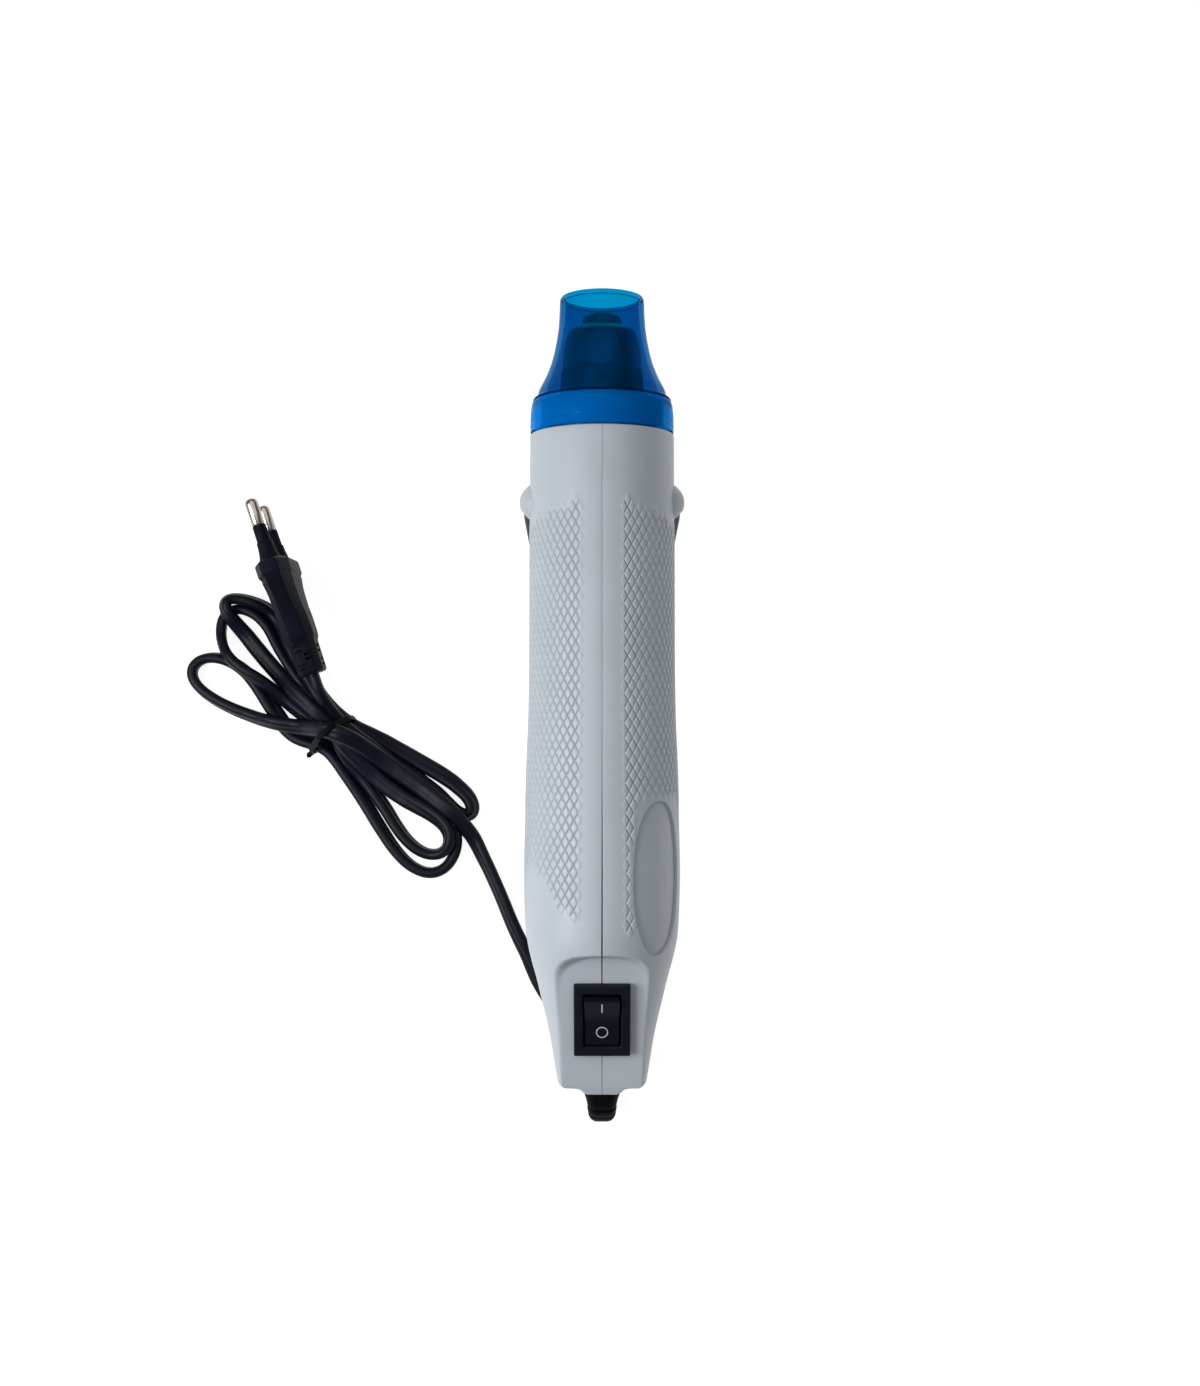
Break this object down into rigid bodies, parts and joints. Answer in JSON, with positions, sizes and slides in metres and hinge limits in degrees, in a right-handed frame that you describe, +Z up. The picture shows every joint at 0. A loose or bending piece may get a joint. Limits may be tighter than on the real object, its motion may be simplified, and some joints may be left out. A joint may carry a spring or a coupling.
{
  "type": "hot air tool",
  "caption": "Slim grey craft hot air tool with diamond grip panels, a translucent blue nozzle guard, a tail rocker switch, a folding wire stand and a tied flat cord with a slim plug.",
  "frame": {"origin": "on the surface under the middle of the tool, cord left out", "axes": "+Y along the tool towards the nozzle, level; +Z up; +X to the right, seen from above with the nozzle away"},
  "size_m": [0.1464, 0.2317, 0.0545],
  "materials": {
    "shell_plastic": "fine spark grain",
    "guard_plastic": "clear tinted",
    "nozzle_steel": "drawn and heat-dulled",
    "steel": "bright",
    "black_wire": "satin black",
    "black_plastic": "satin",
    "cord_rubber": "satin",
    "mica": "layered mica",
    "resistance_wire": "oxidised",
    "brass": "plain",
    "copper_winding": "enamelled",
    "ferrite": "sintered",
    "board": "coated laminate",
    "lead_sleeve_red": "silicone",
    "lead_sleeve_brown": "silicone",
    "ceramic": "glazed"
  },
  "bodies": {
    "tool": {"left_shell": "shell_plastic", "right_shell": "shell_plastic", "nozzle_shield": "guard_plastic", "hot_air_nozzle": "nozzle_steel", "mica_sleeve": "mica", "heater_former": "mica", "heating_coil": "resistance_wire", "thermal_fuse": "ceramic", "motor_end_cap": "black_plastic", "motor_holder": "black_plastic", "switch_housing": "black_plastic", "plug_sleeve_1": "black_plastic", "plug_sleeve_2": "black_plastic", "diode_1": "black_plastic", "diode_2": "black_plastic", "diode_3": "black_plastic", "diode_4": "black_plastic", "motor_can": "steel", "shell_screw_1": "steel", "shell_screw_2": "steel", "shell_screw_3": "steel", "plug_pin_1": "steel", "plug_pin_2": "steel", "motor_magnet": "ferrite", "front_bush": "brass", "rear_bush": "brass", "motor_terminal_1": "brass", "motor_terminal_2": "brass", "switch_terminal_1": "brass", "switch_terminal_2": "brass", "rectifier_board": "board", "live_lead": "lead_sleeve_brown", "switched_lead": "lead_sleeve_brown", "neutral_lead": "lead_sleeve_red", "heater_lead_1": "lead_sleeve_red", "heater_lead_2": "lead_sleeve_red", "strain_relief": "cord_rubber", "cord_lead": "cord_rubber", "cord_hank": "cord_rubber", "cord_plug_lead": "cord_rubber", "cord_tie": "cord_rubber", "plug_body": "cord_rubber"},
    "rocker": {"switch_rocker": "black_plastic"},
    "stand": {"stand_wire": "black_wire"},
    "fan": {"fan_impeller": "black_plastic", "motor_shaft": "steel", "motor_armature": "copper_winding"}
  },
  "joints": [
    {"name": "switch_tip", "type": "hinge", "parent": "tool", "child": "rocker", "pos_m": [0, -0.08448, 0.02922], "axis": [-1, 0, 0], "range_deg": [0, 21]},
    {"name": "stand_fold", "type": "hinge", "parent": "tool", "child": "stand", "pos_m": [0, 0.05779, 0.03227], "axis": [-1, 0, 0], "range_deg": [0, 27]},
    {"name": "fan_spin", "type": "hinge", "parent": "tool", "child": "fan", "pos_m": [0, 0.00483, 0.02717], "axis": [0, 0.9954, 0.0958], "continuous": true}
  ]
}
